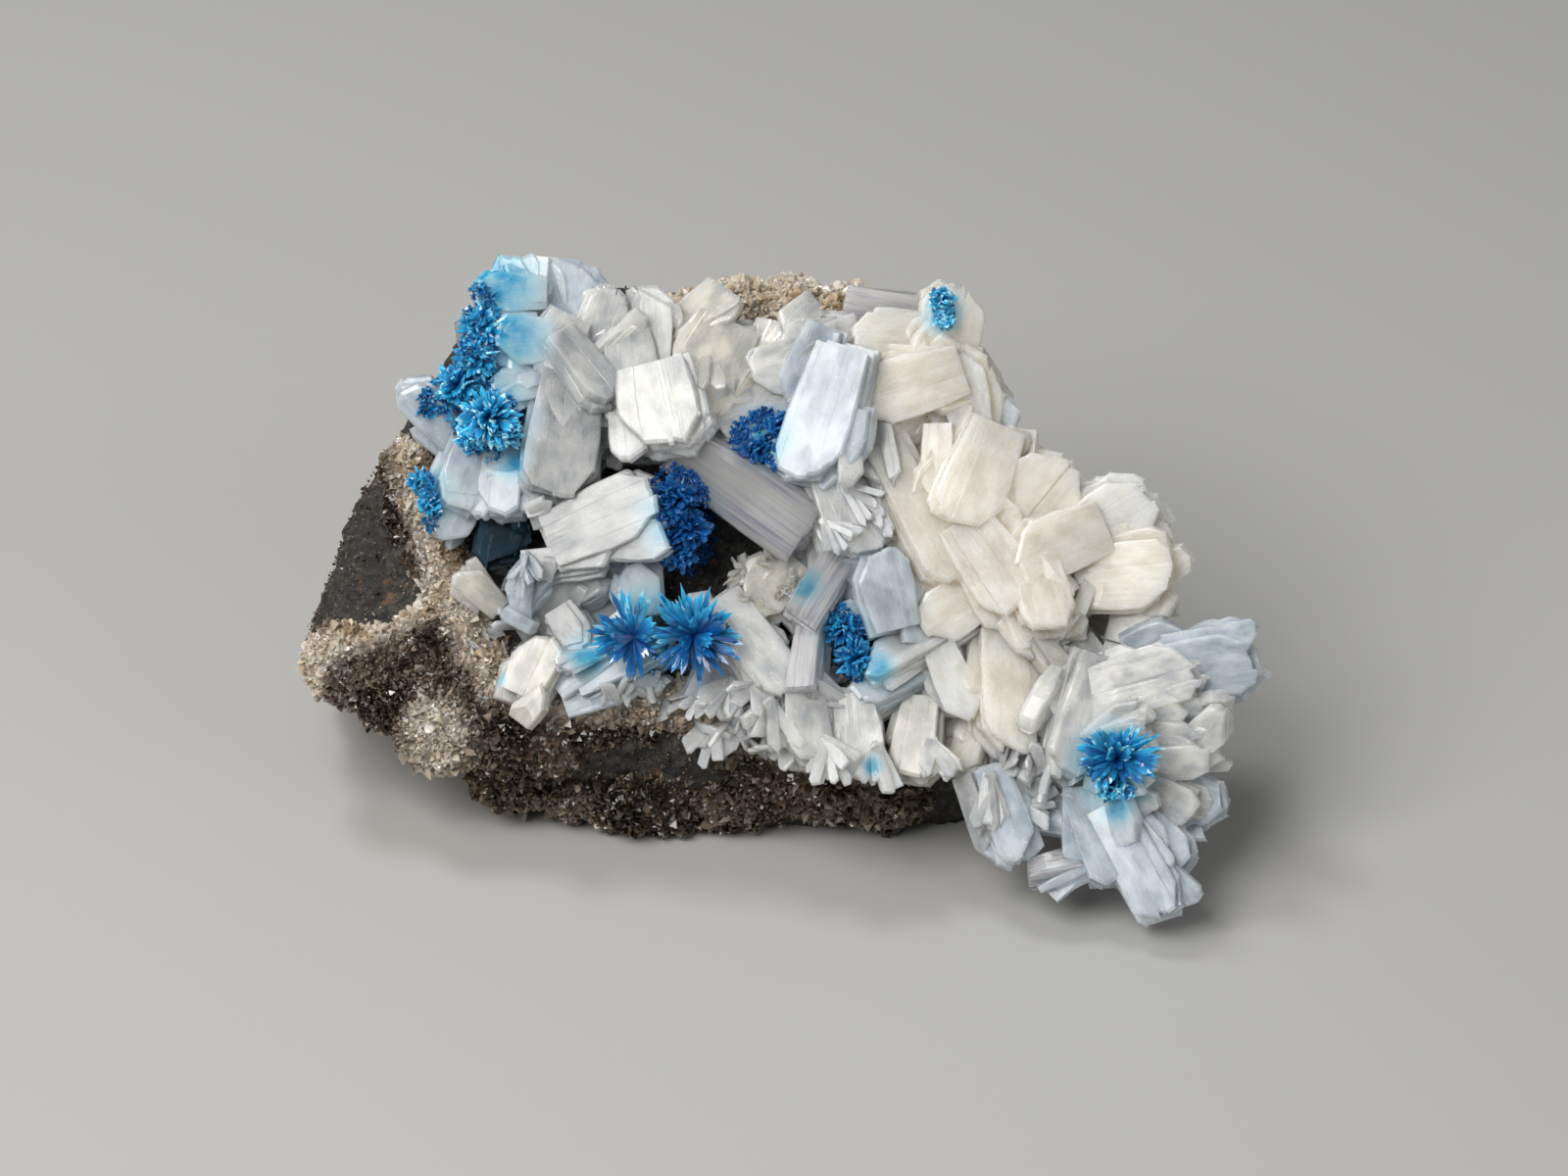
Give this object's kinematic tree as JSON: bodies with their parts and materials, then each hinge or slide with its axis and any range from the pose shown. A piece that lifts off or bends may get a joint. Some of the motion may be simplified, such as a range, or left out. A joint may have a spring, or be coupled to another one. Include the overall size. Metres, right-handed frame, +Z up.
{
  "type": "cavansite specimen",
  "caption": "Cavansite mineral specimen: bright blue crystal rosettes on white stilbite blades, grown on a dark basalt matrix with a brown druse. Stands on its flat underside.",
  "frame": {"origin": "on the flat underside that it rests on, below the middle of the crystal face", "axes": "+Z up, +X along the longest extent towards the overhanging stilbite sheaf, -Y towards the crystal face's front"},
  "size_m": [0.0794, 0.0464, 0.0433],
  "materials": {
    "basalt": "rough, dark, fine-grained, sparkling where it's broken",
    "druse": "small translucent glassy crystals, stained brown",
    "stilbite": "milky to clear, pearly to glassy, finely layered",
    "cavansite": "glassy, vivid blue, fine radiating blades"
  },
  "bodies": {
    "root": {"basalt_matrix": "basalt", "druse_front": "druse", "druse_crest": "druse", "stilbite_cluster": "stilbite", "cavansite_band_left": "cavansite", "cavansite_rosette_left": "cavansite", "cavansite_rim_left": "cavansite", "cavansite_pocket_center": "cavansite", "cavansite_pocket_top": "cavansite", "cavansite_rosettes_front": "cavansite", "cavansite_pocket_right": "cavansite", "cavansite_tuft_right": "cavansite", "cavansite_patch_top": "cavansite"}
  },
  "joints": []
}
